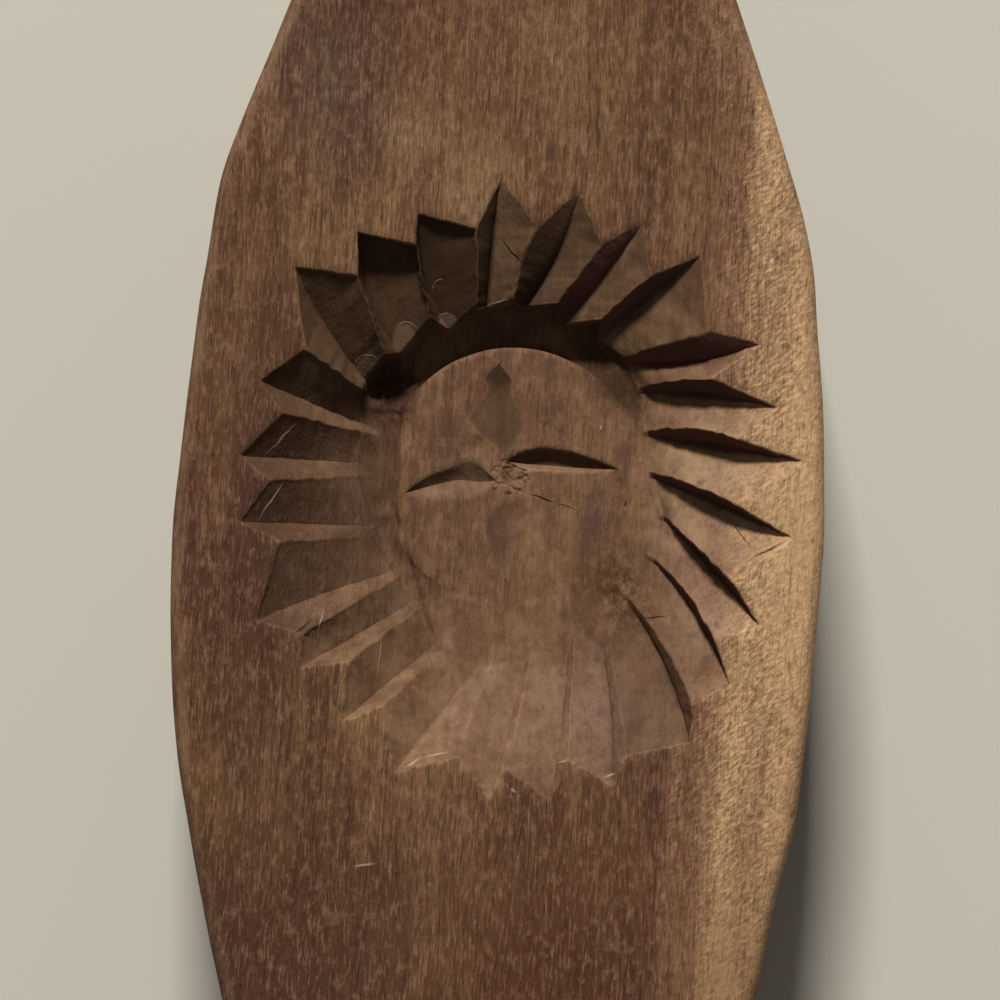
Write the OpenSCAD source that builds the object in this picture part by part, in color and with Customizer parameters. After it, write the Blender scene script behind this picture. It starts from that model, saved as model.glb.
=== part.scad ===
// Maamoul mould: a hand-carved wooden biscuit mould with a rosette hollow and a grip cut from the same board.
// Millimetres. The flat back lies on z = 0, the carved face looks up, and the handle runs along +Y.
// The origin is on the back, under the middle of the rosette's height and on the board's centre line.

/* [Head] */
// Width of the head at its widest
head_w = 76; // [66:1:90]
// Thickness of the board
board_t = 26; // [22:1:34]
// Radius of the bowed sides
side_r = 200; // [160:5:300]
// Where the head is widest, measured from the rosette
widest_y = -7; // [-20:1:10]
// Where the shoulders start, measured from the rosette
shoulder_y = 33; // [28:1:40]
// How far each shoulder leans in towards the neck, in degrees
shoulder_lean = 20; // [14:1:30]
// Distance from the rosette to the far end
far_reach = 84; // [76:1:100]
// Radius of the blunt far end
far_r = 42; // [40:1:60]
// Radius of the worn edges along the bowed sides
side_edge_r = 3; // [1:0.5:5]
// Radius of the worn edges along the shoulders
shoulder_edge_r = 3.6; // [1.2:0.5:5.2]
// Radius of the worn edges round the far end
far_edge_r = 4.4; // [1.4:0.5:5.4]

/* [Handle] */
// Width of the handle where it leaves the neck
neck_w = 30; // [26:1:36]
// Length of the handle from the neck
handle_len = 86; // [70:1:110]
// How far each side of the handle leans out towards its end, in degrees
handle_lean = 2; // [0:0.5:4]
// Radius of the rounded edges of the handle
handle_edge_r = 8; // [3:0.5:10]
// Diameter of the hanging hole
hole_d = 7; // [4:0.5:9]
// Distance from the hole to the end of the handle
hole_inset = 14; // [12:1:20]

/* [Rosette] */
// How far the rosette lies to the right of the board's centre line
rosette_x = 2; // [-4:0.5:4]
// How steeply the bottom of each petal falls towards the middle, in degrees
petal_fall = 25; // [18:1:28]
// How far each petal swirls from pointing at the middle, in degrees
petal_swirl = 13; // [5:1:18]
// Opening of a petal on its steep side, in degrees on the face
steep_opening = 20; // [12:1:30]
// Opening of a petal on its broad side, in degrees on the face
broad_opening = 52; // [40:1:60]
// Radius of the ring channel at its floor
ring_floor_r = 17.5; // [17:0.5:19]
// Depth of the ring channel below the face
ring_depth = 8.5; // [8:0.5:11]
// How far the ring's outer wall leans out on its way up
ring_lean = 2; // [1:0.5:4]
// Radius of the round boss inside the ring
boss_r = 15; // [13:0.5:16]
// Depth of the boss below the face
boss_depth = 7; // [5:0.5:7.5]

/* [Flower on the boss] */
// Length of each of the four leaves
leaf_len = 12.5; // [10:0.5:13]
// Depth of each leaf at its deepest
leaf_depth = 1.2; // [0.6:0.1:1.6]
// Half width of each leaf
leaf_half_w = 2; // [1:0.25:2.5]
// Radius left uncut at the centre of the flower
leaf_inner = 1; // [0.5:0.5:2]

/* [Hidden] */
$fn = 96;
// Each petal of the hand-cut rosette, clockwise from the handle: the direction of its tip in degrees
// and the reach of its tip in millimetres
petals = [
    [355, 35], [10, 34], [24, 33], [37, 33.5], [58, 32], [72, 31], [84, 33], [100, 32.5],
    [119, 32.5], [132, 33.5], [146, 36], [161, 36.5], [172, 37], [183, 36.5], [201, 36.5], [214, 34.5],
    [228, 33], [240, 34], [260, 32.5], [273, 32], [290, 32], [312, 35.5], [325, 34], [338, 33]
];
// Past every edge of the board, for cutters and for the unused sides of the bounding slabs
beyond = 300;
// Height of a petal cutter above its bottom line, enough to clear the face at the ring
petal_cut_h = ring_depth + 2;
// A small overlap, so that cutters start clear of the faces that they cut
clear = 0.5;
side_x = side_r - head_w / 2;
// Half width of the head where the shoulders start, on the bowed side
shoulder_dy = shoulder_y - widest_y;
shoulder_half_w = sqrt(side_r * side_r - shoulder_dy * shoulder_dy) - side_x;
neck_y = shoulder_y + (shoulder_half_w - neck_w / 2) / tan(shoulder_lean);
end_y = neck_y + handle_len;
hole_y = end_y - hole_inset;
handle_end_r = neck_w / 2 + (handle_len - neck_w / 2) * tan(handle_lean);

// Half of the board's section: flat faces and a rounded edge at x = half_w
module edge_section(half_w, edge_r) {
    square([half_w - edge_r, board_t]);
    translate([0, edge_r]) square([half_w, board_t - 2 * edge_r]);
    translate([half_w - edge_r, edge_r]) circle(edge_r);
    translate([half_w - edge_r, board_t - edge_r]) circle(edge_r);
}

module round_board(radius, edge_r) {
    rotate_extrude() edge_section(radius, edge_r);
}

// A slab that ends in a straight rounded edge, which starts at a point and leaves along +Y, leaning in
// towards the centre line by an angle; side is 1 for the right side and -1 for the left
module straight_side(side, half_w, start_y, lean, edge_r) {
    mirror([side > 0 ? 0 : 1, 0, 0])
        translate([half_w, start_y, 0])
            rotate([0, 0, lean])
                translate([-beyond, beyond, 0])
                    rotate([90, 0, 0])
                        linear_extrude(2 * beyond) edge_section(beyond, edge_r);
}

module head_blank() {
    intersection() {
        translate([-side_x, widest_y, 0]) round_board(side_r, side_edge_r);
        translate([side_x, widest_y, 0]) round_board(side_r, side_edge_r);
        straight_side(1, shoulder_half_w, shoulder_y, shoulder_lean, shoulder_edge_r);
        straight_side(-1, shoulder_half_w, shoulder_y, shoulder_lean, shoulder_edge_r);
        union() {
            translate([0, far_r - far_reach, 0]) round_board(far_r, far_edge_r);
            translate([-beyond / 2, far_r - far_reach, 0]) cube([beyond, neck_y - far_r + far_reach, board_t]);
        }
    }
}

// One petal: a V cut that starts as a point on the face and deepens inwards. Its section stands square
// to its bottom line, with the steep wall on one side and the broad wall on the other.
module petal_cut(direction, reach, swirl, fall, steep, broad, length, height) {
    steep_w = height * tan(steep) / sin(fall);
    broad_w = height * tan(broad) / sin(fall);
    rotate([0, 0, -direction])
        translate([0, reach, 0])
            rotate([0, 0, -swirl])
                rotate([90 + fall, 0, 0])
                    linear_extrude(length)
                        polygon([[0, 0], [broad_w, height], [-steep_w, height]]);
}

// One leaf of the flower: two V cuts that deepen from its two points and meet at its middle
module leaf_cut(direction) {
    half_len = leaf_len / 2;
    leaf_fall = atan(leaf_depth / half_len);
    opening = atan(leaf_half_w / half_len);
    rotate([0, 0, -direction])
        for (turn = [0, 180])
            translate([0, leaf_inner + half_len, 0])
                petal_cut(turn, half_len, 0, leaf_fall, opening, opening, half_len / cos(leaf_fall), 2 * leaf_depth);
}

module rosette_cut() {
    difference() {
        union() {
            for (p = petals)
                petal_cut(p[0], p[1], petal_swirl, petal_fall, steep_opening, broad_opening,
                    (p[1] - ring_floor_r) / cos(petal_fall), petal_cut_h);
            translate([0, 0, -ring_depth])
                cylinder(h = ring_depth + clear, r1 = ring_floor_r, r2 = ring_floor_r + ring_lean);
        }
        translate([0, 0, -ring_depth - clear]) cylinder(h = ring_depth + clear - boss_depth, r = boss_r);
    }
    translate([0, 0, -boss_depth]) for (direction = [0, 90, 180, 270]) leaf_cut(direction);
}

module carved_head() {
    color([0.42, 0.26, 0.18])
        difference() {
            head_blank();
            translate([rosette_x, 0, board_t]) rosette_cut();
        }
}

module handle() {
    color([0.5, 0.32, 0.22])
        difference() {
            intersection() {
                straight_side(1, neck_w / 2, neck_y, -handle_lean, handle_edge_r);
                straight_side(-1, neck_w / 2, neck_y, -handle_lean, handle_edge_r);
                union() {
                    translate([0, end_y - handle_end_r, 0]) round_board(handle_end_r, handle_edge_r);
                    translate([-beyond / 2, neck_y, 0]) cube([beyond, handle_len - handle_end_r, board_t]);
                }
            }
            translate([0, hole_y, -clear]) cylinder(h = board_t + 2 * clear, d = hole_d);
        }
}

carved_head();
handle();
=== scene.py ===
import math
import random
from collections import namedtuple

import bpy
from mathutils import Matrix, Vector, noise
from mathutils.geometry import delaunay_2d_cdt


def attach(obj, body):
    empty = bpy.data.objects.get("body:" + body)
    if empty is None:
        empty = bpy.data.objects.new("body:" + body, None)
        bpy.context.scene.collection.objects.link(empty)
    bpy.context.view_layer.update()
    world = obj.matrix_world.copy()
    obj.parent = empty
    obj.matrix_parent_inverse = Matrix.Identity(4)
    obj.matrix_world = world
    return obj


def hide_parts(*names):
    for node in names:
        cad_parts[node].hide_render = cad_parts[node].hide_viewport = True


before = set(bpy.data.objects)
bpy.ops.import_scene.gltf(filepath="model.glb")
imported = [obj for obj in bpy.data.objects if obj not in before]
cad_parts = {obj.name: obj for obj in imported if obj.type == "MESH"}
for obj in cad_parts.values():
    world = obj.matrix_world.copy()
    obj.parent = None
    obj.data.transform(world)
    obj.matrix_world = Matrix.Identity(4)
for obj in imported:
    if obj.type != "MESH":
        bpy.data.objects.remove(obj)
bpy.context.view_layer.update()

# The camera looks straight down on the carved face of the head, a little turned, as if held in the hand
# above the table. The picture is as wide as the head and half as much again.
view_centre = Vector((0.0, -0.00215, 0.026))
view_width = 0.1155
view_turn = math.radians(2.0)
camera_height = 0.62
lens = bpy.data.cameras.new("picture")
lens.sensor_fit = "HORIZONTAL"
lens.angle = 2 * math.atan(view_width / 2 / camera_height)
lens.clip_end = 20
camera = bpy.data.objects.new("picture", lens)
camera.location = view_centre + Vector((0, 0, camera_height))
camera.rotation_euler = (0, 0, view_turn)
bpy.context.scene.collection.objects.link(camera)
bpy.context.scene.camera = camera

# The daylight comes from one window beyond the handle, low enough to fill the cuts with shadow. The room
# gives a weak fill from all sides.
light_height = math.radians(32)
light_turn = math.radians(7)
light_distance = 3.2
light_from = Vector((-math.sin(light_turn) * math.cos(light_height),
                     math.cos(light_turn) * math.cos(light_height),
                     math.sin(light_height)))
window = bpy.data.lights.new("window", "AREA")
window.shape = "RECTANGLE"
window.size = 0.68
window.size_y = 0.40
window.energy = 175
window.color = (1.0, 0.985, 0.96)
window_lamp = bpy.data.objects.new("window", window)
window_lamp.location = view_centre + light_distance * light_from
window_lamp.rotation_euler = light_from.to_track_quat("Z", "Y").to_euler()
bpy.context.scene.collection.objects.link(window_lamp)
room = bpy.data.worlds.new("room")
room.use_nodes = True
room.node_tree.nodes["Background"].inputs["Color"].default_value = (1.0, 0.96, 0.92, 1)
room.node_tree.nodes["Background"].inputs["Strength"].default_value = 0.15
bpy.context.scene.world = room
bpy.context.scene.view_settings.view_transform = "Standard"

# The table is a plain pale surface that the board lies on.
table_half = 1.5
table_mesh = bpy.data.meshes.new("table")
table_corners = [(-table_half, -table_half, 0), (table_half, -table_half, 0),
                 (table_half, table_half, 0), (-table_half, table_half, 0)]
table_mesh.from_pydata(table_corners, [], [(0, 1, 2, 3)])
table = bpy.data.objects.new("table", table_mesh)
table.location.z = -0.0002
bpy.context.scene.collection.objects.link(table)
table_paint = bpy.data.materials.new("pale table")
table_paint.use_nodes = True
table_shader = table_paint.node_tree.nodes["Principled BSDF"]
table_shader.inputs["Base Color"].default_value = (0.505, 0.477, 0.405, 1)
table_shader.inputs["Roughness"].default_value = 0.75
table_mesh.materials.append(table_paint)

# The mould is one board of walnut-like wood, sawn and scraped to shape: a bowed head with the carved rosette,
# shoulders, a neck and a grip with its hanging hole. It is made in millimetres as one closed skin, which
# replaces both parts of the plain model.
thickness = 26.0
back_height = 0.03
random.seed(5)
skin_points = []
skin_faces = []
# The grime mark on the points darkens the wood: partly dirt, partly painted shade in the cuts.
skin_marks = {"wear": [], "carved": [], "grime_and_shade": []}
sharp_lines = []


def add_point(x, y, z, wear=0.0, carved=0.0, grime_and_shade=0.0):
    skin_points.append((x, y, z))
    skin_marks["wear"].append(wear)
    skin_marks["carved"].append(carved)
    skin_marks["grime_and_shade"].append(grime_and_shade)
    return len(skin_points) - 1


def ripple(x, y, size, seed):
    return noise.noise(Vector((x / size, y / size, seed)))


def smooth(value):
    value = min(1.0, max(0.0, value))
    return value * value * (3 - 2 * value)


def face_height(x, y):
    return thickness - 0.10 + 0.07 * ripple(x, y, 22, 1.5) + 0.02 * ripple(x, y, 5, 4.5)


def bowed_line(start, end, bow, t):
    across = Vector((start.y - end.y, end.x - start.x)).normalized()
    middle = (start + end) / 2 + 2 * bow * across
    return (1 - t) ** 2 * start + 2 * t * (1 - t) * middle + t ** 2 * end


# The rosette: 24 petals, each a V cut with a steep wall and a broad wall, clockwise from the handle. A
# petal is given by its tip, the valley before it, and the places where the ridge from that valley and the
# petal's bottom line reach the ring. Bows are towards the clockwise side, and depths are at the ring.
# Upright is the depth of a stop cut down the broad side. The two dirt and shade values darken each wall,
# partly as dirt and partly as painted shade on walls that face away from the light, and 1 is the darkest.
Petal = namedtuple("Petal", "tip valley ridge_end line_end line_bow ridge_bow line_depth ridge_depth "
                            "upright broad_dirt steep_dirt")
petal_cuts = [
    ((-1.2, 34.8), (-3.8, 29.0), (-3.6, 20.4), (-2.4, 20.0), -0.2, 0.2, 4.2, 2.6, 0.0, 0.5, 1.0),
    ((7.8, 33.6), (3.2, 29.4), (0.9, 21.1), (1.9, 20.4), 0.9, -0.6, 4.3, 2.3, 0.0, 0.62, 1.0),
    ((15.2, 30.2), (10.7, 27.6), (5.7, 20.9), (6.3, 18.5), 0.3, 0.0, 4.5, 2.1, 0.0, 0.4, 1.0),
    ((22.1, 26.7), (16.4, 24.2), (10.9, 19.2), (10.8, 17.2), -0.2, 0.0, 4.8, 2.5, 0.0, 0.42, 1.0),
    ((29.4, 16.9), (23.3, 18.1), (13.9, 15.0), (14.1, 14.3), 0.9, 0.0, 5.4, 4.5, 0.0, 0.4, 1.0),
    ((31.6, 9.6), (23.7, 12.7), (15.8, 11.5), (16.0, 10.9), -0.7, -0.2, 5.5, 5.2, 0.0, 0.15, 1.0),
    ((34.7, 3.5), (27.1, 5.8), (16.8, 6.4), (17.1, 5.9), -0.3, -0.8, 5.6, 5.3, 0.0, 0.06, 1.0),
    ((33.8, -5.4), (27.0, -1.7), (17.4, 1.7), (17.5, 1.1), -0.4, -0.3, 5.6, 5.3, 0.0, 0.0, 1.0),
    ((30.4, -15.6), (27.2, -10.8), (19.2, -3.4), (19.3, -3.9), -0.5, 0.0, 5.6, 5.3, 0.0, 0.0, 1.0),
    ((27.2, -22.5), (25.3, -17.4), (18.2, -8.4), (18.3, -8.9), -0.9, -0.6, 5.6, 5.3, 0.0, 0.2, 1.0),
    ((22.9, -29.3), (23.0, -24.9), (15.5, -13.2), (15.4, -13.7), -0.9, -0.6, 5.6, 5.3, 0.0, 0.5, 0.85),
    ((14.0, -34.7), (15.6, -31.2), (13.3, -17.8), (12.5, -18.7), -0.5, 0.0, 5.7, 5.5, 0.0, 0.16, 0.3),
    ((7.0, -36.5), (8.9, -31.9), (9.3, -17.9), (8.5, -19.7), -0.2, 0.0, 5.7, 5.5, 0.0, 0.1, 0.1),
    ((0.0, -36.7), (1.9, -33.2), (4.4, -19.2), (3.7, -20.4), 0.0, 0.0, 5.7, 5.5, 0.0, 0.05, 0.0),
    ((-11.1, -34.0), (-3.9, -32.0), (-0.3, -21.1), (-1.7, -21.4), 0.0, 0.0, 5.7, 5.4, 0.0, 0.1, 0.1),
    ((-17.3, -28.3), (-12.7, -26.4), (-6.0, -19.9), (-6.7, -19.2), 0.0, 0.0, 5.7, 5.2, 0.0, 0.2, 0.3),
    ((-22.4, -22.3), (-16.8, -21.4), (-9.6, -15.5), (-10.2, -14.7), 0.0, 0.0, 5.6, 5.2, 0.1, 0.25, 0.4),
    ((-27.6, -17.0), (-22.2, -18.4), (-11.7, -11.6), (-12.2, -10.9), 0.3, 0.0, 5.6, 5.2, 0.1, 0.35, 0.4),
    ((-29.9, -5.7), (-25.2, -7.8), (-15.0, -6.9), (-15.1, -5.7), 0.0, 0.0, 5.6, 5.2, 0.08, 0.42, 0.55),
    ((-30.1, 1.9), (-26.5, -0.8), (-16.8, 0.1), (-17.4, 1.6), 0.0, 0.0, 5.6, 5.2, 0.1, 0.27, 0.45),
    ((-28.1, 10.6), (-25.4, 7.0), (-16.2, 5.3), (-17.4, 6.5), 0.0, 0.0, 5.6, 5.2, 0.2, 0.6, 0.5),
    ((-24.6, 23.9), (-23.1, 14.4), (-16.6, 10.3), (-16.3, 11.4), -0.5, 0.0, 5.2, 3.4, 0.15, 0.8, 0.8),
    ((-17.5, 28.1), (-17.3, 23.2), (-13.9, 14.1), (-12.1, 14.5), -1.3, 0.0, 4.8, 3.2, 1.7, 0.85, 0.9),
    ((-10.6, 30.5), (-10.7, 26.9), (-8.9, 18.6), (-6.6, 17.4), -1.0, 0.0, 4.5, 3.0, 0.4, 1.0, 1.0),
]
petals = [Petal(*(Vector(place) for place in cut[:4]), *cut[4:]) for cut in petal_cuts]
far_petals_y = -25
line_steps = 50
valley_step = 20


def spread(part, gather):
    return (1 - gather) * part + gather * (0.5 - 0.5 * math.cos(math.pi * part))


def outer_share(tip, line_end, valley):
    along = line_end - tip
    return (valley - tip).dot(along) / along.length_squared


def shaken(p, amount):
    shake = Vector((ripple(p.x, p.y, 1.3, 7.7), ripple(p.x, p.y, 1.3, 9.1)))
    return p + (shake + 0.7 * Vector((ripple(p.x, p.y, 0.7, 2.7), ripple(p.x, p.y, 0.7, 4.1)))) * amount


def add_outline(tip_index, tip, valley, valley_index):
    out = [tip_index]
    for k in range(1, valley_step):
        p = tip.lerp(valley, (k / valley_step) ** 1.2)
        p = shaken(p, 0.30 if tip.y < far_petals_y else 0.10)
        out.append(add_point(p.x, p.y, face_height(p.x, p.y) - 0.07, wear=0.1, carved=0.5))
    return out + [valley_index]


def upright_share(k):
    return min(1.0, k / 4) * (1 - max(0, k - valley_step) / (line_steps - valley_step))


def add_wall(near, far, number, steep):
    """Fills a petal's wall from its bottom line up to its edge, and returns the wall's end at the ring."""
    petal = petals[number]
    columns = 7 if steep else 14
    # Each wall's darkening is partly dirt and partly painted shade.
    dirt_and_shade = petal.steep_dirt if steep else petal.broad_dirt
    upright = 0 if steep else petal.upright
    rows = [[near[0]] * (columns + 1)]
    for k in range(1, line_steps + 1):
        a, b = Vector(skin_points[near[k]]), Vector(skin_points[far[k]])
        width = (b - a).to_2d().length
        edge_z = skin_points[ridges[number][max(0, k - valley_step)]][2]
        shadow = 0.1 + 0.28 * (edge_z - a.z)
        # Painted shade: on the lower petals the cut darkens towards the ring, where they catch more light
        # than the ring.
        at_ring = 0.22 * smooth((k - 34) / 16) if 11 <= number <= 16 else 0
        row = [near[k]]
        for j in range(1, columns):
            c = spread(j / columns, 0.55)
            p = a.lerp(b, c)
            if steep:
                p.z += (b.z - a.z) * (c ** 0.65 - c)
            p.z -= upright * upright_share(k) * c * min(1.0, (1 - c) * width / 0.3)
            hollow = math.sin(math.pi * c) * min(1.0, width / 4)
            p.z -= hollow * (0.10 + 0.12 * ripple(p.x, p.y, 3.1, 11.3) + 0.05 * ripple(p.x, p.y, 1.1, 3.3))
            # Painted shadow: the broad wall is darkened as far as the steep wall's shadow reaches across it.
            shaded = petal.steep_dirt * smooth((shadow - c * width) / 0.35)
            row.append(add_point(*p, carved=1, grime_and_shade=max(dirt_and_shade + at_ring, shaded)))
        rows.append(row + [far[k]])
    for k in range(line_steps):
        for j in range(columns):
            quad = [rows[k][j], rows[k + 1][j], rows[k + 1][j + 1], rows[k][j + 1]]
            if k == 0:
                quad = [rows[0][0], rows[1][j], rows[1][j + 1]]
            skin_faces.append(quad[::-1] if steep else quad)
    return rows[-1]


tips, valleys, lines = [], [], []
for petal in petals:
    tips.append(add_point(*petal.tip, face_height(*petal.tip) - 0.05, wear=0.3, carved=0.5))
    valleys.append(add_point(*petal.valley, face_height(*petal.valley) - 0.10, wear=0.4, carved=0.5))
for number, petal in enumerate(petals):
    following = petals[(number + 1) % len(petals)]
    shares = [outer_share(petal.tip, petal.line_end, valley) for valley in (petal.valley, following.valley)]
    share = min(0.6, max(0.3, sum(shares) / 2))
    line = [tips[number]]
    for k in range(1, line_steps + 1):
        if k <= valley_step:
            t = share * (k / valley_step) ** 1.2
        else:
            t = share + (1 - share) * (k - valley_step) / (line_steps - valley_step)
        p = shaken(bowed_line(petal.tip, petal.line_end, petal.line_bow, t), 0.10 * (k < line_steps))
        hollow = (0.1 if number < 15 else 0.3) * (1 - t)
        height = thickness - 0.12 - petal.line_depth * t * (1 + hollow)
        height -= 0.8 * petal.upright * upright_share(k)
        # The bottom line of each cut is darkened: dirt with painted shade in the crease.
        dirt_and_shade = min(1.0, 0.1 + max(petal.broad_dirt, petal.steep_dirt))
        line.append(add_point(p.x, p.y, height, carved=1, grime_and_shade=dirt_and_shade))
    lines.append(line)
    if not 12 <= number <= 15:
        sharp_lines.append(line)
ridges = []
for number, petal in enumerate(petals):
    ridge = [valleys[number]]
    for k in range(valley_step + 1, line_steps + 1):
        t = (k - valley_step) / (line_steps - valley_step)
        p = shaken(bowed_line(petal.valley, petal.ridge_end, petal.ridge_bow, t), 0.21 * (k < line_steps))
        fall = t ** (1.7 if 4 <= number <= 8 else 1.15)
        # The ridges are darkened with their steep walls: painted shade.
        ridge.append(add_point(p.x, p.y, thickness - 0.2 - petal.ridge_depth * fall, wear=0.1, carved=1,
                               grime_and_shade=0.7 * petal.steep_dirt))
    ridges.append(ridge)
rosette_edge, ring_edge = [], []
for number, petal in enumerate(petals):
    following = (number + 1) % len(petals)
    valley = petals[following].valley
    broad_edge = add_outline(tips[number], petal.tip, valley, valleys[following])
    steep_edge = add_outline(tips[following], petals[following].tip, valley, valleys[following])
    broad_end = add_wall(lines[number], broad_edge + ridges[following][1:], number, False)
    steep_end = add_wall(lines[following], steep_edge + ridges[following][1:], following, True)
    rosette_edge += broad_edge + steep_edge[-2:0:-1]
    ring_edge += broad_end + steep_end[-2:0:-1]

# The ring channel runs round the boss, under the inner ends of the petals. It was cleared with a gouge and
# is deepest towards the handle. The boss is round, but cut straight on its left.
boss_middle = Vector((1.4, 0.6))
boss_r = 15.05
boss_left = 13.0
boss_depth = 5.55
ring_depth = 5.80
# Rows of points across the ring as shares of its width, then up the boss's rim as distances from it
ring_rows = [0.04, 0.09, 0.15, 0.23, 0.32, 0.42, 0.53, 0.64, 0.75, 0.87, 1.0]
rim_rows = [0.9, 0.6, 0.35, 0.18, 0.09, 0.0]
torn_middle = Vector((-13.2, 9.8))


def boss_reach(out):
    return min(boss_r, boss_left / max(0.01, -out.x / out.length))


def boss_height(x, y):
    out = (Vector((x, y)) - boss_middle).length / boss_r
    uneven = 0.06 * ripple(x, y, 5, 2.2) + 0.03 * ripple(x, y, 1.7, 9.9)
    return thickness - boss_depth - 0.25 * out ** 2 + uneven * smooth(5 * (1 - out))


loops = [ring_edge]
for w, left_over in [(w, 1.3) for w in ring_rows] + [(1.0, rim) for rim in rim_rows]:
    loop = []
    for index in ring_edge:
        x, y, z = skin_points[index]
        out = Vector((x, y)) - boss_middle
        angle = math.atan2(out.x, out.y)
        gap = out.length - boss_reach(out)
        from_edge = (gap - left_over * min(1.0, gap / 2.4)) * w
        to_boss = gap - from_edge
        rim_shake = 0.07 * smooth(1 - to_boss) * ripple(10 * math.cos(angle), 10 * math.sin(angle), 2.5, 5)
        place = boss_middle + out.normalized() * (boss_reach(out) + to_boss + rim_shake)
        under_handle = smooth((math.cos(angle) - 0.28) / 0.40)
        at_left = smooth((-math.sin(angle) - 0.4) / 0.5)
        wall_width = min(0.45 * gap, 2.6 - 1.9 * under_handle - 0.5 * at_left)
        floor = thickness - ring_depth - 0.35 * at_left
        floor -= 1.9 * smooth((math.cos(angle + 0.25) - 0.5) / 0.4)
        floor += (0.04 + 0.16 * at_left) * ripple(place.x, place.y, 1.7, 6.1)
        torn = smooth(1.7 - (place - torn_middle).length / 2.9)
        floor += torn * (0.5 * ripple(place.x, place.y, 0.6, 5.3) + 0.5 * ripple(place.x, place.y, 1.5, 6.3))
        # a knife line leans along the lower left of the boss
        from_line = abs((place.x + 11.6) * 0.947 + (place.y + 5.6) * 0.32)
        knifed = max(0.0, 1 - from_line / 0.35) * smooth((place.y + 20.5) / 2) * smooth((-1.5 - place.y) / 2)
        height = z + (floor - z) * smooth(from_edge / wall_width)
        at_boss = 1 - smooth(to_boss / (1.0 - 0.9 * under_handle))
        height += (boss_height(place.x, place.y) - height) * at_boss
        at_right = smooth((math.sin(angle) - 0.3) / 0.4)
        # Painted shade: the channel is darkened most under the handle and on its right, where its shadow
        # falls, and along the boss's rim there; on the left it is darkened as gouged wood, and the torn patch
        # as torn wood.
        shade = 0.05 + (0.22 + 0.6 * at_right) * under_handle
        shade *= smooth(1.15 + 0.6 * under_handle - abs(from_edge / gap - 0.5) * 2.2)
        shade = max(shade, 0.25 * under_handle * (to_boss < 0.2), 0.5 * at_left * (to_boss > 0.15))
        dark = min(1.0, shade + 0.5 * knifed) if torn == 0 else max(shade, 0.92 * torn)
        fresh = max(0.5, 1 - 0.5 * at_left - 0.35 * smooth(1 - to_boss / 3.5))
        loop.append(add_point(place.x, place.y, height - 0.3 * knifed, carved=fresh, grime_and_shade=dark))
    loops.append(loop)
for upper, lower in zip(loops, loops[1:]):
    for n in range(len(upper)):
        m = (n + 1) % len(upper)
        skin_faces.append([upper[n], lower[n], lower[m], upper[m]])
boss_edge = loops[-1]


def inside(polygon, x, y):
    found = False
    for (ax, ay), (bx, by) in zip(polygon, polygon[1:] + polygon[:1]):
        if (ay > y) != (by > y) and x < (bx - ax) * (y - ay) / (by - ay) + ax:
            found = not found
    return found


def fill_flat(outer, holes, spots, surface, turned=False):
    """Fills the area inside one loop and outside others with triangles, through the given spots."""
    flat, edges, owners = [], [], []
    for loop in [outer] + holes:
        first = len(flat)
        for index in loop:
            flat.append(Vector(skin_points[index][:2]))
            owners.append(index)
        edges += [(first + n, first + (n + 1) % len(loop)) for n in range(len(loop))]
    for x, y in spots:
        flat.append(Vector((x, y)))
        owners.append(None)
    points, _, triangles, sources, _, _ = delaunay_2d_cdt(flat, edges, [], 0, 1e-5)
    hole_shapes = [[skin_points[i][:2] for i in loop] for loop in holes]
    outer_shape = [skin_points[i][:2] for i in outer]
    found = []
    for p, source in zip(points, sources):
        owner = owners[source[0]] if source else None
        found.append(owner if owner is not None else add_point(p.x, p.y, *surface(p.x, p.y)))
    for triangle in triangles:
        middle = sum((points[n] for n in triangle), Vector((0, 0))) / 3
        if inside(outer_shape, *middle) and not any(inside(shape, *middle) for shape in hole_shapes):
            corners = [found[n] for n in triangle]
            skin_faces.append(corners[::-1] if turned else corners)


def scatter(x0, x1, y0, y1, step, allowed):
    spots = []
    row = 0
    y = y0
    while y < y1:
        x = x0 + (row % 2) * step / 2
        while x < x1:
            spot = (x + random.uniform(-0.22, 0.22) * step, y + random.uniform(-0.22, 0.22) * step)
            if allowed(*spot):
                spots.append(spot)
            x += step
        y += step * 0.866
        row += 1
    return spots


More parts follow.
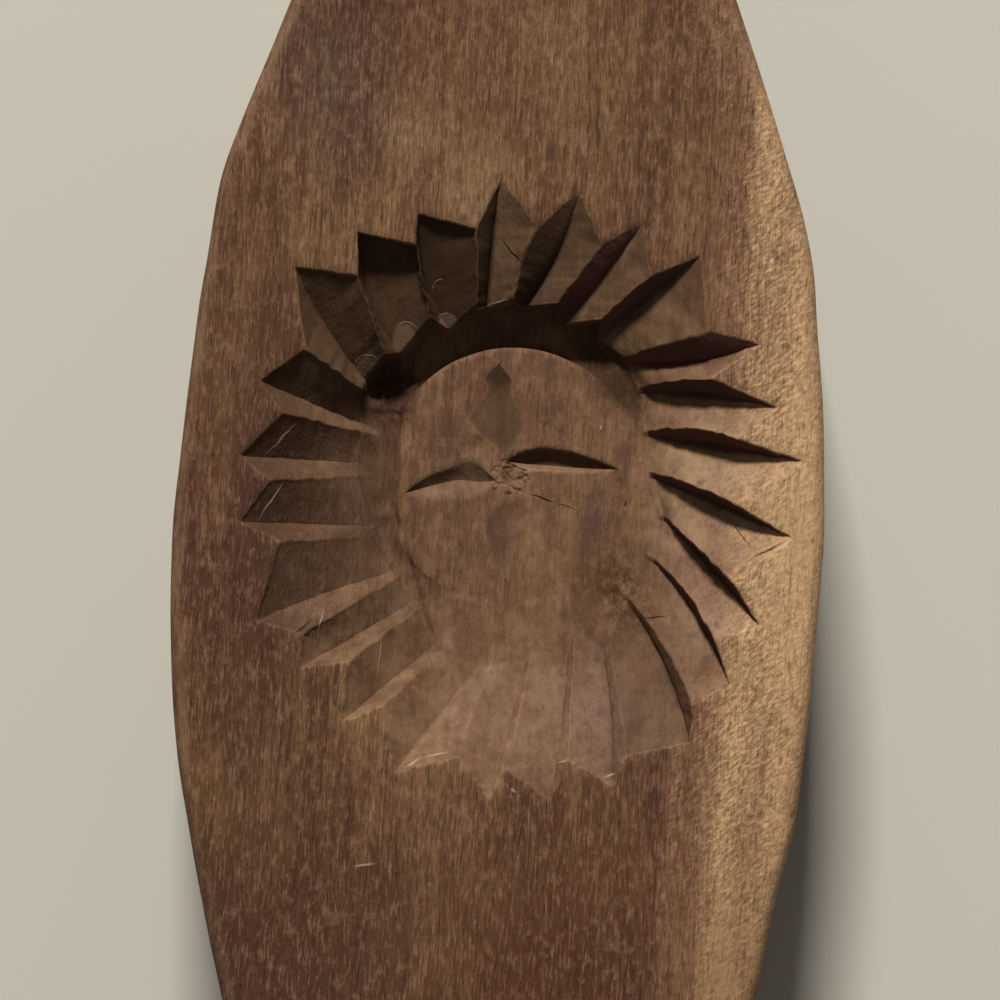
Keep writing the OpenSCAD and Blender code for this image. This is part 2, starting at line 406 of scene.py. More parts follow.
# The four leaves of the flower on the boss are shallow V cuts: a wall towards the handle that lies in shade
# and a wall that catches the light. Each is given along its bottom line, with the edges on both sides.
leaves = [
    # bottom line, the edges on its left and right when seen from its first end, depth, how upright, dirt and
    # painted shade
    ([(-11.2, -1.75), (-8.5, -0.9), (-5.1, 0.0), (-2.4, -0.1), (-0.6, 0.1)],
     [(-11.2, -1.75), (-8.8, 0.2), (-5.6, 1.7), (-3.4, 2.4), (-0.6, 0.1)],
     [(-11.2, -1.75), (-8.6, -2.2), (-5.1, -2.0), (-2.4, -1.7), (-0.6, 0.1)], 0.85, 1.2, 0.4),
    ([(0.6, 2.4), (2.8, 2.2), (5.6, 2.1), (9.6, 1.9), (13.6, 1.9)],
     [(0.6, 2.4), (2.4, 3.5), (5.2, 4.1), (9.4, 3.4), (13.6, 1.9)],
     [(0.6, 2.4), (2.8, 1.6), (5.6, 1.5), (9.6, 1.5), (13.6, 1.9)], 1.2, 2.4, 0.75),
    ([(-0.7, 13.7), (-0.6, 11.6), (-0.6, 9.6), (-0.9, 6.4), (0.6, 3.2)],
     [(-0.7, 13.7), (0.9, 12.0), (0.9, 10.4), (2.7, 7.0), (0.6, 3.2)],
     [(-0.7, 13.7), (-2.3, 12.1), (-1.9, 10.4), (-3.9, 6.9), (0.6, 3.2)], 0.18, 1.3, 0.46),
    ([(0.6, -2.4), (0.2, -4.8), (0.1, -7.2), (0.4, -9.4), (0.9, -11.2)],
     [(0.6, -2.4), (1.9, -4.2), (2.0, -6.6), (1.6, -8.8), (0.9, -11.2)],
     [(0.6, -2.4), (-1.6, -4.6), (-1.3, -7.0), (-0.4, -9.2), (0.9, -11.2)], 0.14, 1.3, 0.22),
]
leaf_steps = 22
leaf_columns = 6


def on_curve(p0, p1, p2, p3, u):
    """A point on the smooth curve through four points, u from 0 at the second to 1 at the third."""
    return 0.5 * (2 * p1 + (p2 - p0) * u + (2 * p0 - 5 * p1 + 4 * p2 - p3) * u ** 2
                  + (3 * p1 - 3 * p2 + p3 - p0) * u ** 3)


def along(points, t):
    """A point on a smooth curve through the given points, t from 0 to 1."""
    place = t * (len(points) - 1)
    n = min(int(place), len(points) - 2)
    four = [Vector(points[min(max(n + d, 0), len(points) - 1)]) for d in (-1, 0, 1, 2)]
    return on_curve(*four, place - n)


leaf_loops = []
for bottom, left, right, depth, upright, dirt_and_shade in leaves:
    start, end = Vector(bottom[0]), Vector(bottom[-1])
    first = add_point(start.x, start.y, boss_height(*start))
    last = add_point(end.x, end.y, boss_height(*end))
    rows = [[first] * (2 * leaf_columns + 1)]
    for k in range(1, leaf_steps):
        t = spread(k / leaf_steps, 0.5)
        middle = along(bottom, t)
        stain_and_shade = dirt_and_shade * (1 + smooth((0.37 - t) / 0.14) * (start.y > 10))
        row = []
        for j in range(-leaf_columns, leaf_columns + 1):
            edge = along(left if j < 0 else right, t)
            c = abs(j) / leaf_columns
            p = middle.lerp(edge, c)
            deep = depth * min(1.0, 2.6 * math.sin(math.pi * t) ** 0.9 / 2.2)
            wall = 1 - (c ** upright if j < 0 else c)
            height = boss_height(p.x, p.y) - deep * wall - 0.04 * depth * (c == 1)
            # Painted shade with dirt: the wall towards the handle is darkened fully and the lit wall a
            # little, and the top leaf more towards its head.
            dark = min(1.0, stain_and_shade * (1.0 if j <= 0 or depth < 0.5 else 0.3)) * (c < 1)
            row.append(add_point(p.x, p.y, height, carved=1, grime_and_shade=dark))
        rows.append(row)
    rows.append([last] * (2 * leaf_columns + 1))
    for k in range(leaf_steps):
        for j in range(2 * leaf_columns):
            quad = [rows[k][j], rows[k][j + 1], rows[k + 1][j + 1], rows[k + 1][j]]
            quad = [q for n, q in enumerate(quad) if q not in quad[:n]]
            skin_faces.append(quad)
    sharp_lines.append([row[leaf_columns] for row in rows])
    leaf_loops.append([row[0] for row in rows] + [row[-1] for row in rows[-2:0:-1]])
leaf_shapes = [[skin_points[i][:2] for i in loop] for loop in leaf_loops]


def on_boss(x, y):
    out = Vector((x, y)) - boss_middle
    if out.length > boss_reach(out) - 0.35:
        return False
    return not any(inside(shape, x, y) for shape in leaf_shapes)


def at_crossing(x, y):
    return ((x - 1.0) / 2.3) ** 2 + ((y - 0.6) / 2.0) ** 2 < 1 and on_boss(x, y)


def boss_surface(x, y):
    """Height and marks: chips left where the leaves' cuts meet, and plain scraped wood elsewhere."""
    if not at_crossing(x, y):
        return boss_height(x, y), 0.0, 0.65, 0.0
    near, _ = noise.voronoi(Vector((x / 1.7 + 0.5 * ripple(x, y, 0.9, 3), y / 1.25, 3.7)))
    gap = max(0.0, 1 - (near[1] - near[0]) / 0.13)
    # The gaps between the chips are lowered and darkened: painted shade.
    return boss_height(x, y) + 0.22 * ripple(x, y, 1.8, 8.1) - 0.2 * gap, 0.25 * (1 - gap), 0.8, 0.45 * gap


boss_spots = scatter(-14, 17, -15, 16.5, 0.55, lambda x, y: on_boss(x, y) and not at_crossing(x, y))
boss_spots += scatter(-2, 4, -2, 3, 0.16, at_crossing)
fill_flat(boss_edge, leaf_loops, boss_spots, boss_surface)

# The outline of the board: the bowed sides and the shoulders follow the sawn line, which wanders a little.
# The sides are given as height along the board and distance from its middle.
right_side = [(-70, 27.7), (-64, 29.9), (-58, 31.9), (-55, 32.3), (-50, 33.1), (-45, 34.1), (-40, 35.3),
              (-35, 35.9), (-30, 36.4), (-25, 36.8), (-20, 37.0), (-15, 37.3), (-10, 37.6), (-5, 37.8),
              (0, 37.6), (5, 37.4), (10, 37.1), (15, 36.6), (20, 36.0), (25, 35.6), (30, 34.6),
              (33.5, 33.6), (37, 32.4), (42, 30.7), (50, 27.9), (60, 24.2), (70, 20.5), (77, 17.9),
              (82, 16.3), (87, 15.4), (93, 15.2), (105, 15.6), (120, 16.2), (135, 16.7), (147, 17.15)]
left_side = [(-70, 27.5), (-64, 29.5), (-58, 31.0), (-55, 31.8), (-50, 32.95), (-45, 34.1), (-40, 35.05),
             (-35, 36.1), (-30, 36.8), (-25, 37.3), (-20, 37.6), (-15, 37.85), (-10, 37.9), (-5, 37.85),
             (0, 37.4), (5, 37.0), (10, 36.6), (15, 36.1), (20, 35.65), (25, 34.9), (30, 34.3), (35, 33.5),
             (40, 31.8), (45, 30.0), (50, 28.1), (60, 24.4), (70, 20.7), (77, 18.1), (82, 16.4), (87, 15.4),
             (93, 15.2), (105, 15.5), (120, 16.1), (135, 16.8), (147, 17.2)]
grip_end = Vector((0, 153.6))
grip_end_r = 17.4
far_middle = Vector((0, -42))
far_end_r = 41.9
corners = [(x, y) for y, x in right_side]
for degrees in range(85, -86, -17):
    a = math.radians(degrees)
    corners.append((grip_end.x + grip_end_r * math.sin(a), grip_end.y + grip_end_r * math.cos(a)))
corners += [(-x, y) for y, x in reversed(left_side)]
corners += [(-25.6, -74.2)]
for degrees in range(-32, 33, 8):
    a = math.radians(degrees)
    corners.append((far_middle.x + far_end_r * math.sin(a), far_middle.y - far_end_r * math.cos(a)))
corners += [(25.7, -74.2)]
fine_steps = 24
fine = []
for n in range(len(corners)):
    four = [Vector(corners[(n + d) % len(corners)]) for d in (-1, 0, 1, 2)]
    for part in range(fine_steps):
        fine.append(on_curve(*four, part / fine_steps))
lengths = [0.0]
for a, b in zip(fine, fine[1:] + fine[:1]):
    lengths.append(lengths[-1] + (b - a).length)
outline_step = 0.95
outline_count = int(lengths[-1] / outline_step)
outline = []
n = 0
for k in range(outline_count):
    want = lengths[-1] * k / outline_count
    while lengths[n + 1] < want:
        n += 1
    share = (want - lengths[n]) / (lengths[n + 1] - lengths[n])
    outline.append(fine[n].lerp(fine[(n + 1) % len(fine)], share))
for _ in range(6):
    outline = [(outline[k - 1] + 2 * outline[k] + outline[(k + 1) % outline_count]) / 4
               for k in range(outline_count)]
inwards = []
for k in range(outline_count):
    run = outline[(k + 1) % outline_count] - outline[k - 1]
    inwards.append(Vector((-run.y, run.x)).normalized())
for k in range(outline_count):
    p = outline[k]
    outline[k] = p + inwards[k] * (0.06 + 0.05 * ripple(p.x, p.y, 9, 8.2))


def edge_round(y, head, grip):
    return head + (grip - head) * smooth((y - 62) / 36)


def edge_loop(turn, up, head, grip):
    loop = []
    for k in range(outline_count):
        p = outline[k]
        r = edge_round(p.y, head, grip) * (1 + 0.18 * ripple(p.x, p.y, 13, 2.9))
        q = p + inwards[k] * r * (1 - math.cos(turn))
        drop = r * 1.15 * (1 - math.sin(turn))
        if up:
            z = face_height(q.x, q.y) - drop
        else:
            z = back_height + drop
        loop.append(add_point(q.x, q.y, z, wear=0.6 * math.sin(2 * turn)))
    return loop


round_steps = 6
top_turns = [math.pi / 2 * (1 - s / round_steps) for s in range(round_steps + 1)]
side_loops = [edge_loop(turn, True, 1.9, 7.5) for turn in top_turns]
upper, lower = side_loops[-1], edge_loop(0, False, 1.6, 7.0)
side_rows = 7
for row in range(1, side_rows):
    loop = []
    for a, b in zip(upper, lower):
        p = Vector(skin_points[a]).lerp(Vector(skin_points[b]), row / side_rows)
        loop.append(add_point(*p))
    side_loops.append(loop)
side_loops.append(lower)
side_loops += [edge_loop(turn, False, 1.6, 7.0) for turn in reversed(top_turns[:-1])]
for above, below in zip(side_loops, side_loops[1:]):
    for n in range(outline_count):
        m = (n + 1) % outline_count
        skin_faces.append([above[n], below[n], below[m], above[m]])

# The hanging hole near the end of the grip is drilled straight through, and its rims are worn round.
hole_middle = Vector((0, 157.09))
hole_r = 3.5
hole_points = 40
hole_rows = [(0.8, 0.0), (0.42, 0.09), (0.16, 0.3), (0.0, 0.75)]
hole_rings = []
for widened, down in hole_rows:
    hole_rings.append((hole_r + widened, thickness - 0.1 - down))
for part in (0.25, 0.5, 0.75):
    hole_rings.append((hole_r, thickness * (1 - part)))
for widened, down in reversed(hole_rows):
    hole_rings.append((hole_r + widened, back_height + down))
hole_loops = []
for r, z in hole_rings:
    hole_loops.append([add_point(hole_middle.x + r * math.cos(2 * math.pi * n / hole_points),
                                 hole_middle.y + r * math.sin(2 * math.pi * n / hole_points), z)
                       for n in range(hole_points)])
for above, below in zip(hole_loops, hole_loops[1:]):
    for n in range(hole_points):
        m = (n + 1) % hole_points
        skin_faces.append([above[n], above[m], below[m], below[n]])

# The flat of the carved face round the rosette, with close points along the rosette's edge so that only the
# edge itself is rounded, and the flat back.
rosette_shape = [skin_points[i][:2] for i in rosette_edge]
top_shape = [skin_points[i][:2] for i in side_loops[0]]
back_shape = [skin_points[i][:2] for i in side_loops[-1]]
edge_grid = {}
for x, y in rosette_shape:
    edge_grid.setdefault((int(x // 1), int(y // 1)), []).append(Vector((x, y)))


def clear_of_edge(x, y, least):
    cx, cy = int(x // 1), int(y // 1)
    for i in (-1, 0, 1):
        for j in (-1, 0, 1):
            for p in edge_grid.get((cx + i, cy + j), []):
                if (p - Vector((x, y))).length < least:
                    return False
    return True


edge_spots = []
for n in range(len(rosette_shape)):
    a, b, c = (Vector(rosette_shape[(n + d) % len(rosette_shape)]) for d in (-1, 0, 1))
    run = (c - a).normalized()
    spot = b + Vector((-run.y, run.x)) * 0.22
    if clear_of_edge(spot.x, spot.y, 0.17) and not inside(rosette_shape, *spot):
        edge_spots.append(tuple(spot))


def on_face(x, y):
    if (Vector((x, y)) - hole_middle).length < hole_r + 1.3:
        return False
    if abs(x) < 37 and abs(y) < 38 and (not clear_of_edge(x, y, 0.6) or inside(rosette_shape, x, y)):
        return False
    return inside(inner_top, x, y)


def on_back(x, y):
    return (Vector((x, y)) - hole_middle).length > hole_r + 1.3 and inside(inner_back, x, y)


inner_top = [tuple(Vector(p) + inwards[k] * 0.5) for k, p in enumerate(top_shape)]
inner_back = [tuple(Vector(p) + inwards[k] * 0.8) for k, p in enumerate(back_shape)]
face_spots = edge_spots + scatter(-38, 38, -84, 171, 1.25, on_face)
fill_flat(side_loops[0], [rosette_edge, hole_loops[0]], face_spots, lambda x, y: (face_height(x, y),))
fill_flat(side_loops[-1], [hole_loops[-1]], scatter(-38, 38, -84, 171, 2.4, on_back),
          lambda x, y: (back_height,), turned=True)

skin = bpy.data.meshes.new("mould_board")
skin.from_pydata([(x / 1000, y / 1000, z / 1000) for x, y, z in skin_points], [], skin_faces)
skin.validate()
skin.shade_smooth()
sharp_pairs = set()
for line in sharp_lines:
    for a, b in zip(line, line[1:]):
        sharp_pairs.add((min(a, b), max(a, b)))
for edge in skin.edges:
    a, b = edge.vertices
    if (min(a, b), max(a, b)) in sharp_pairs:
        edge.use_edge_sharp = True
board = bpy.data.objects.new("mould_board", skin)
bpy.context.scene.collection.objects.link(board)
for name, values in skin_marks.items():
    skin.attributes.new(name, "FLOAT", "POINT").data.foreach_set("value", values)

# The wood: reddish-brown heartwood with fine dark pores along the grain, and a strip of pale sapwood down
# the right edge that runs out as the cuts go deeper. It is oiled and worn, and the cuts are paler than the
# old face.
wood = bpy.data.materials.new("walnut")
wood.use_nodes = True
shader = wood.node_tree.nodes["Principled BSDF"]
skin.materials.append(wood)


def put(kind, inputs, output=0, **settings):
    """Adds a node; its inputs take numbers or other nodes' outputs."""
    made = wood.node_tree.nodes.new("ShaderNode" + kind)
    for name, value in settings.items():
        setattr(made, name, value)
    for name, value in inputs.items():
        if isinstance(value, bpy.types.NodeSocket):
            wood.node_tree.links.new(value, made.inputs[name])
        else:
            made.inputs[name].default_value = value
    return made.outputs[output]


def blend(share, first, second):
    return put("Mix", {0: share, 6: first, 7: second}, 2, data_type="RGBA")


def level(value, low, high, to_low=0.0, to_high=1.0):
    return put("MapRange", {"Value": value, "From Min": low, "From Max": high,
                            "To Min": to_low, "To Max": to_high})


def calculate(operation, *values):
    return put("Math", dict(enumerate(values)), operation=operation)


def mark(name):
    return put("Attribute", {}, 2, attribute_name=name)


place = put("TexCoord", {}, 3)
upright_grain = put("Mapping", {"Vector": place, "Rotation": (0, 0, math.radians(1.5))})


def bent(where, drawn, detail, reach):
    """A place shifted by up to half the reach, in metres, along a noise that is drawn at another place."""
    wander = put("TexNoise", {"Vector": drawn, "Scale": 1.0, "Detail": detail}, 1)
    centred = put("VectorMath", {0: wander, 1: (0.5, 0.5, 0.5)}, operation="SUBTRACT")
    shift = put("VectorMath", {0: centred, 1: reach}, operation="MULTIPLY")
    return put("VectorMath", {0: where, 1: shift}, operation="ADD")


slow_grain = put("VectorMath", {0: upright_grain, 1: (60, 22, 60)}, operation="MULTIPLY")
grain = bent(upright_grain, slow_grain, 2.0, (0.0022, 0, 0.0022))
close_place = put("VectorMath", {0: place, 1: (380, 380, 380)}, operation="MULTIPLY")
bent_place = bent(place, close_place, 2.0, (0.0008, 0.0008, 0))


def noise_in(where, across, along_grain, detail=2.0, roughness=0.6):
    """Noise by the number of its waves in a metre across the grain and along it."""
    drawn = put("VectorMath", {0: where, 1: (across, along_grain, across)}, operation="MULTIPLY")
    return put("TexNoise", {"Vector": drawn, "Scale": 1.0, "Detail": detail, "Roughness": roughness})


def around(where, x, y, reach_x, reach_y, lean):
    """Places counted from a spot on the face, in millimetres, in shares of its reach, leaning in degrees."""
    return put("Mapping", {"Vector": where, "Location": (x / 1000, y / 1000, 0),
                           "Rotation": (0, 0, math.radians(lean)),
                           "Scale": (reach_x / 1000, reach_y / 1000, 10)}, vector_type="TEXTURE")


def spot(x, y, reach_x, reach_y, lean=0.0, full=0.2, where=place):
    """1 at a place on the face, in millimetres, falling to 0 at its reach."""
    local = around(where, x, y, reach_x, reach_y, lean)
    return level(put("VectorMath", {0: local}, 1, operation="LENGTH"), 1.0, full)


bands = noise_in(grain, 130, 9, 2.0)
drifts = noise_in(grain, 210, 45, 3.0)
streaks = noise_in(grain, 1300, 95, 3.0)
fibres = noise_in(grain, 4300, 560, 2.0, 0.55)
pores = level(noise_in(grain, 5600, 420, 0.0), 0.69, 0.80)
long_lines = noise_in(grain, 2600, 60, 1.0)
clouds = noise_in(place, 42, 24, 3.0)
mottle = noise_in(place, 900, 620, 3.0, 0.7)
smears = noise_in(place, 300, 210, 2.0, 0.6)
carved = mark("carved")
wear = mark("wear")
grime_and_shade = mark("grime_and_shade")
# Fibres and pores show less on the cuts, though more on the smooth ones at the left
smoothed = level(spot(-22, -10, 11, 22), 0.0, 1.0, 0.75, 0.35)
uncut = calculate("SUBTRACT", 1.0, calculate("MULTIPLY", carved, smoothed))

# Heartwood: broad bands, smaller drifts of colour and streaks
heart = blend(level(bands, 0.34, 0.68), (0.088, 0.036, 0.018, 1), (0.175, 0.088, 0.040, 1))
heart = blend(level(drifts, 0.42, 0.66, 0.0, 0.70), heart, (0.072, 0.026, 0.017, 1))
heart = blend(level(drifts, 0.46, 0.30, 0.0, 0.65), heart, (0.245, 0.136, 0.063, 1))
heart = blend(level(clouds, 0.46, 0.66, 0.0, 0.70), heart, (0.078, 0.029, 0.019, 1))
heart = blend(level(clouds, 0.46, 0.30, 0.0, 0.60), heart, (0.230, 0.128, 0.060, 1))
heart = blend(level(streaks, 0.46, 0.72, 0.0, 0.42), heart, (0.260, 0.142, 0.072, 1))
heart = blend(level(streaks, 0.50, 0.28, 0.0, 0.46), heart, (0.050, 0.020, 0.012, 1))

# Sapwood: pale tan with short flecks that lean across the grain
fleck_place = put("Mapping", {"Vector": place, "Rotation": (0, 0, math.radians(-40))})
flecks = noise_in(fleck_place, 1150, 2900, 4.0, 0.7)
sap = blend(level(flecks, 0.36, 0.66), (0.300, 0.165, 0.078, 1), (0.660, 0.425, 0.225, 1))
sap = blend(calculate("MULTIPLY", level(fibres, 0.50, 0.30), 0.35), sap, (0.230, 0.120, 0.060, 1))
sap = blend(level(clouds, 0.40, 0.75, 0.0, 0.5), sap, (0.300, 0.165, 0.080, 1))
sap = blend(level(drifts, 0.52, 0.75, 0.0, 0.5), sap, (0.250, 0.125, 0.058, 1))
across = put("SeparateXYZ", {"Vector": place}, 0)
up = put("SeparateXYZ", {"Vector": place}, 2)
sap_start = calculate("ADD", across, calculate("MULTIPLY", up, 1.1))
sap_start = calculate("ADD", sap_start, calculate("MULTIPLY", calculate("SUBTRACT", bands, 0.5), 0.026))
sap_start = calculate("ADD", sap_start, calculate("MULTIPLY", calculate("SUBTRACT", drifts, 0.5), 0.012))
sap_start = calculate("ADD", sap_start, calculate("MULTIPLY", calculate("SUBTRACT", flecks, 0.5), 0.014))
sap_start = calculate("SUBTRACT", sap_start, calculate("MULTIPLY", spot(28, 34, 30, 30), 0.0028))
border = level(calculate("ABSOLUTE", calculate("SUBTRACT", sap_start, 0.0530)), 0.0050, 0.0010, 0.0, 0.6)
heart = blend(border, heart, (0.225, 0.108, 0.062, 1))
sap_share = level(sap_start, 0.0515, 0.0600)
tone = blend(sap_share, heart, sap)
pore_share = calculate("MULTIPLY", calculate("MULTIPLY", pores, uncut), level(sap_share, 0.0, 1.0, 0.5, 0.15))
tone = blend(pore_share, tone, (0.038, 0.017, 0.011, 1))

# The cuts are paler and a little pink, and the old face has a few patches with their own tones; two on the
# top leaf are painted shade with dirt, and one on petal 9's broad wall is painted light.
tone = blend(calculate("MULTIPLY", carved, 0.40), tone, (0.210, 0.122, 0.070, 1))
dark_smears = calculate("MULTIPLY", carved, level(smears, 0.48, 0.72, 0.0, 0.5))
tone = blend(dark_smears, tone, (0.085, 0.042, 0.026, 1))
pale_smears = calculate("MULTIPLY", carved, level(smears, 0.50, 0.28, 0.0, 0.5))
tone = blend(pale_smears, tone, (0.270, 0.165, 0.095, 1))
patches = [
    # middle, reach across and along, lean, share and colour
    (24, 1, 9, 14, -12, 0.35, (0.430, 0.285, 0.165, 1)),
    (6, -27, 17, 9, 0, 0.35, (0.250, 0.145, 0.094, 1)),
    (-31, -37.3, 4.6, 8, 0, 0.90, (0.205, 0.110, 0.040, 1)),
    (-38.5, -5, 2.6, 15, 0, 0.6, (0.200, 0.110, 0.060, 1)),
    (6, 48, 24, 20, 0, 0.45, (0.230, 0.128, 0.060, 1)),
    (-4, 33, 7, 10, 0, 0.75, (0.270, 0.158, 0.080, 1)),
    (-26, -58, 26, 30, 0, 0.92, (0.066, 0.027, 0.015, 1)),
    (-27, -4, 7, 44, 2, 0.88, (0.066, 0.028, 0.018, 1)),
    (-21, 45, 9, 15, 4, 0.50, (0.125, 0.082, 0.060, 1)),
    (13, -45, 13, 11, 0, 0.40, (0.200, 0.100, 0.044, 1)),
    (12, -26, 5, 9, 8, 0.45, (0.190, 0.115, 0.095, 1)),
    (6, -60, 20, 30, 0, 0.75, (0.075, 0.026, 0.012, 1)),
    (10.8, -4.4, 2.3, 5.4, -12, 0.90, (0.085, 0.042, 0.038, 1)),
    (0.2, -6.5, 2.2, 5.6, 4, 0.75, (0.085, 0.038, 0.031, 1)),
    (-0.9, -5.8, 0.8, 4.0, 12, 0.80, (0.055, 0.025, 0.015, 1)),
    # Painted shade with dirt: the top leaf's body and head are darkened.
    (0.2, 7.0, 5.2, 5.4, 0, 0.75, (0.085, 0.038, 0.020, 1)),
    (-0.6, 11.7, 2.2, 2.8, 0, 0.90, (0.050, 0.022, 0.012, 1)),
    (5.0, 7.2, 0.9, 0.8, 0, 0.60, (0.060, 0.026, 0.016, 1)),
    (-2.6, 5.0, 1.1, 0.5, -20, 0.70, (0.060, 0.026, 0.016, 1)),
    (-29.5, -33, 2.2, 8, 2, 0.65, (0.042, 0.025, 0.015, 1)),
    (-12, 41, 6, 5, 0, 0.50, (0.280, 0.170, 0.092, 1)),
    (-2.8, -13.7, 0.6, 4.2, 80, 0.55, (0.270, 0.170, 0.105, 1)),
    (5.4, -13.7, 0.6, 4.2, -78, 0.55, (0.270, 0.170, 0.105, 1)),
    (2, -6, 13, 11, 0, 0.25, (0.235, 0.130, 0.070, 1)),
    (-29, -24, 8, 12, 0, 0.55, (0.066, 0.028, 0.016, 1)),
    # Painted light: petal 9's broad wall is lightened where its slit's shadow falls.
    (24.5, -15.5, 4, 4, 0, 0.50, (0.330, 0.215, 0.135, 1)),
    (4.0, 8.0, 0.5, 0.6, 0, 0.60, (0.050, 0.022, 0.014, 1)),
    (-15.6, -3, 4.0, 13, 3, 0.50, (0.080, 0.038, 0.028, 1)),
    (22.8, 24, 2.4, 12, 3, 0.45, (0.130, 0.055, 0.034, 1)),
    (36, -6, 6, 24, 0, 0.50, (0.620, 0.390, 0.195, 1)),
    (29, -58, 10, 20, 0, 0.75, (0.260, 0.140, 0.066, 1)),
]
for x, y, reach_x, reach_y, lean, share, colour in patches:
    uneven = level(mottle, 0.30, 0.60, 0.6 * share, share)
    tone = blend(calculate("MULTIPLY", spot(x, y, reach_x, reach_y, lean), uneven), tone, colour)

# Fibres and long dark lines over all of it, duller on the cuts and on the sapwood
fibrous = calculate("MULTIPLY", uncut, level(sap_share, 0.0, 1.0, 1.0, 0.3))
for strokes, colour in [(level(long_lines, 0.56, 0.72, 0.0, 0.55), (0.052, 0.022, 0.013, 1)),
                        (level(fibres, 0.34, 0.60, 0.42, 0.0), (0.046, 0.020, 0.012, 1)),
                        (level(fibres, 0.54, 0.76, 0.0, 0.42), (0.330, 0.200, 0.125, 1))]:
    tone = blend(calculate("MULTIPLY", strokes, fibrous), tone, colour)
crumbs = level(noise_in(place, 1700, 1200, 3.0, 0.7), 0.66, 0.42)
tone = blend(calculate("MULTIPLY", spot(14.2, -12.2, 5.6, 8.6, 25), crumbs), tone, (0.070, 0.032, 0.014, 1))
tone = blend(level(mottle, 0.52, 0.75, 0.0, 0.45), tone, (0.250, 0.155, 0.095, 1))
tone = blend(level(mottle, 0.48, 0.25, 0.0, 0.55), tone, (0.070, 0.036, 0.022, 1))
# Painted shade and dirt: the grime mark darkens the cuts, and where it is deepest on the right it takes the
# reddish dark of the shadows in the slits.
reddish = calculate("MULTIPLY", level(grime_and_shade, 0.88, 0.98), level(across, 0.004, 0.010))
dirt_and_shade = blend(reddish, (0.036, 0.019, 0.0095, 1), (0.090, 0.037, 0.029, 1))
tone = blend(calculate("MULTIPLY", grime_and_shade, 0.92), tone, dirt_and_shade)
rubbed = calculate("MULTIPLY", wear, level(streaks, 0.35, 0.60, 0.3, 1.0))
tone = blend(calculate("MULTIPLY", rubbed, 0.45), tone, (0.300, 0.190, 0.115, 1))

# Cracks and scratches, each by its middle, reach across and along, and lean: the dark cracks open into the
# wood, and the pale scratches are raised fibres
cracks = [(0.3, 26.6, 0.16, 2.3, 40), (5.0, -1.9, 0.17, 1.8, 74), (7.9, -2.7, 0.09, 1.4, 77),
          (31.2, -6.8, 0.14, 2.4, -60), (27.9, -5.2, 0.09, 2.2, 38), (18.4, -15.1, 0.12, 1.8, -84),
          (-22.2, -17.7, 0.18, 1.6, -46), (14.7, -2.2, 0.16, 0.5, -20)]
scratches = [(-25.5, 4.1, 0.18, 3.0, -43), (-26.5, -3.2, 0.18, 2.9, -33), (-2.9, 20.1, 0.13, 1.2, -66),
             (-0.8, 20.8, 0.13, 1.3, -77), (-8.8, -32.8, 0.18, 1.5, -58), (-6.2, -31.8, 0.18, 1.6, -77),
             (8.3, -32.2, 0.18, 0.9, -65), (13.8, -33.6, 0.18, 1.0, -61), (-14.2, -44.9, 0.22, 1.4, -75),
             (-20.2, -17.2, 0.14, 2.0, -9), (-13.3, -20.5, 0.14, 2.3, -1), (2.6, -35.7, 0.26, 0.5, 55),
             (11.6, 6.7, 0.22, 0.4, 0)]

# Gouge ends: where a gouge stopped, the wood has a tone of its own and a pale curved lip round it
gouge_ends = [
    # middle, reach across and along, share and colour
    (-16.0, 12.2, 1.5, 2.1, 0.60, (0.120, 0.076, 0.040, 1)),
    (-11.8, 16.4, 1.6, 2.1, 0.75, (0.150, 0.090, 0.054, 1)),
    (-6.8, 18.4, 1.2, 1.2, 0.75, (0.150, 0.085, 0.060, 1)),
    (-13.4, 9.0, 3.6, 4.6, 0.40, (0.055, 0.024, 0.013, 1)),
]
for x, y, reach_x, reach_y, share, colour in gouge_ends:
    inner = calculate("MULTIPLY", spot(x, y, reach_x, reach_y, 0, 0.7, bent_place), share)
    tone = blend(inner, tone, colour)
lips = [(-16.0, 12.9, 1.35, 15), (-11.5, 17.0, 1.25, 5), (-7.5, 21.9, 1.2, 25), (-7.0, 18.4, 1.0, -10)]
lip_width = 0.10


def lip(x, y, radius, lean):
    """The upper half of a thin ring on the face, in millimetres and degrees."""
    local = around(bent_place, x, y, radius, radius, lean)
    to_ring = calculate("SUBTRACT", put("VectorMath", {0: local}, 1, operation="LENGTH"), 1.0)
    upper_half = level(put("SeparateXYZ", {"Vector": local}, 1), 0.1, 0.6)
    thin = level(calculate("ABSOLUTE", to_ring), lip_width / radius, 0.2 * lip_width / radius)
    return calculate("MULTIPLY", thin, upper_half)


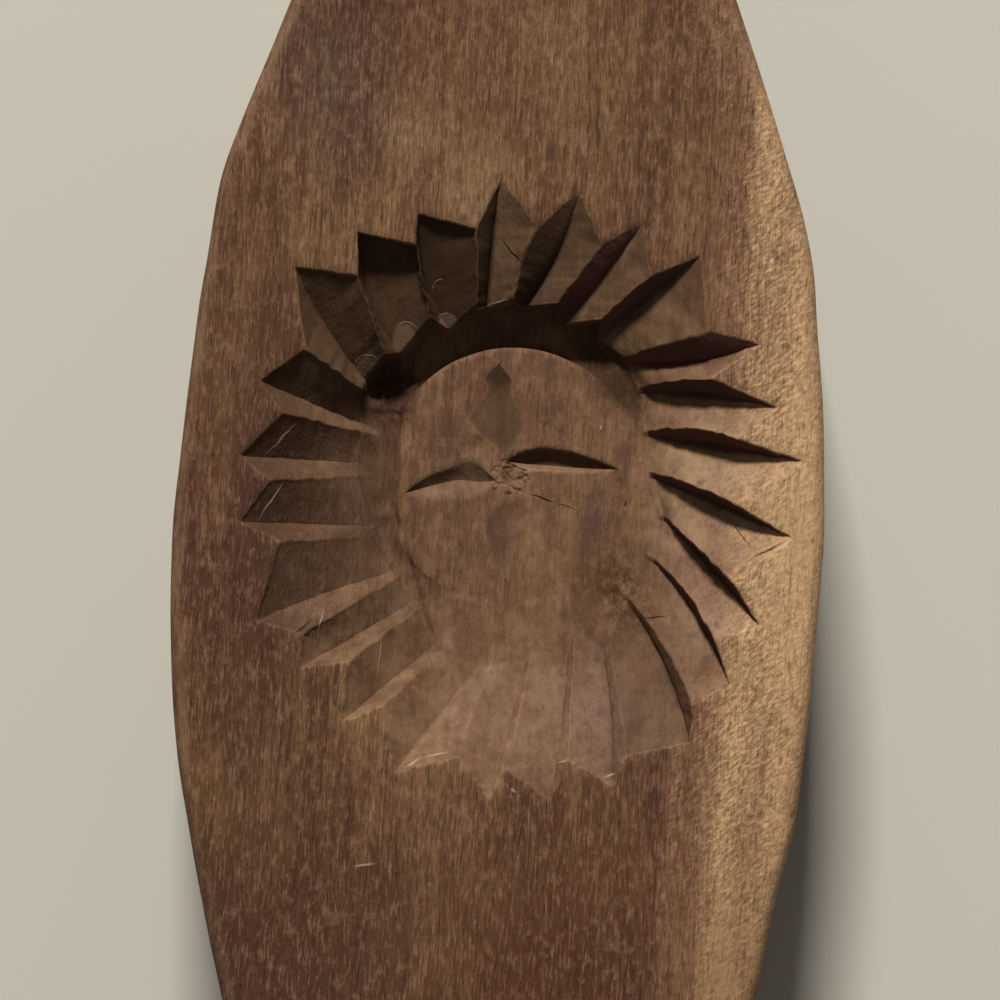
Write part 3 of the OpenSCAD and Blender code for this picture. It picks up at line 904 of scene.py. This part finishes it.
# The ring channel is rough at both ends of its deep stretch and darkened there: on the left as dark torn wood
# with painted shade, on the right as painted shade over rough dark wood.
rough_left = spot(-13.4, 9.2, 4.2, 4.8, 0, 0.5, bent_place)
tone = blend(calculate("MULTIPLY", rough_left, crumbs), tone, (0.040, 0.018, 0.011, 1))
rough_right = spot(12.4, 12.8, 2.9, 7.5, 48, 0.5, bent_place)
tone = blend(calculate("MULTIPLY", rough_right, crumbs), tone, (0.046, 0.023, 0.012, 1))
opened, raised = 0.0, 0.0
for x, y, reach_x, reach_y, lean in cracks:
    opened = calculate("MAXIMUM", opened, spot(x, y, reach_x, reach_y, lean, 0.2, bent_place))
for x, y, reach_x, reach_y, lean in scratches:
    raised = calculate("MAXIMUM", raised, spot(x, y, reach_x, reach_y, lean, 0.2, bent_place))
for x, y, radius, lean in lips:
    broken = calculate("MULTIPLY", lip(x, y, radius, lean), level(mottle, 0.35, 0.6))
    raised = calculate("MAXIMUM", raised, broken)
tone = blend(calculate("MULTIPLY", opened, 0.9), tone, (0.022, 0.010, 0.007, 1))
tone = blend(calculate("MULTIPLY", raised, 0.6), tone, (0.400, 0.300, 0.210, 1))
wood.node_tree.links.new(tone, shader.inputs["Base Color"])
wood.node_tree.links.new(level(streaks, 0.3, 0.7, 0.72, 0.56), shader.inputs["Roughness"])
shader.inputs["Specular IOR Level"].default_value = 0.05
relief = calculate("MULTIPLY", calculate("SUBTRACT", fibres, pores), uncut)
relief = calculate("ADD", relief, calculate("MULTIPLY", calculate("MULTIPLY", flecks, sap_share), 0.4))
relief = calculate("ADD", relief, calculate("MULTIPLY", mottle, level(carved, 0.0, 1.0, 0.8, 0.5)))
relief = calculate("ADD", relief, calculate("MULTIPLY", noise_in(bent_place, 3300, 1500, 1.0), 0.6))
relief = calculate("ADD", relief, calculate("SUBTRACT", raised, calculate("MULTIPLY", opened, 1.5)))
bump = put("Bump", {"Height": relief, "Strength": 0.7, "Distance": 0.00012})
wood.node_tree.links.new(bump, shader.inputs["Normal"])

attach(board, "root")
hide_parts("carved_head", "handle")
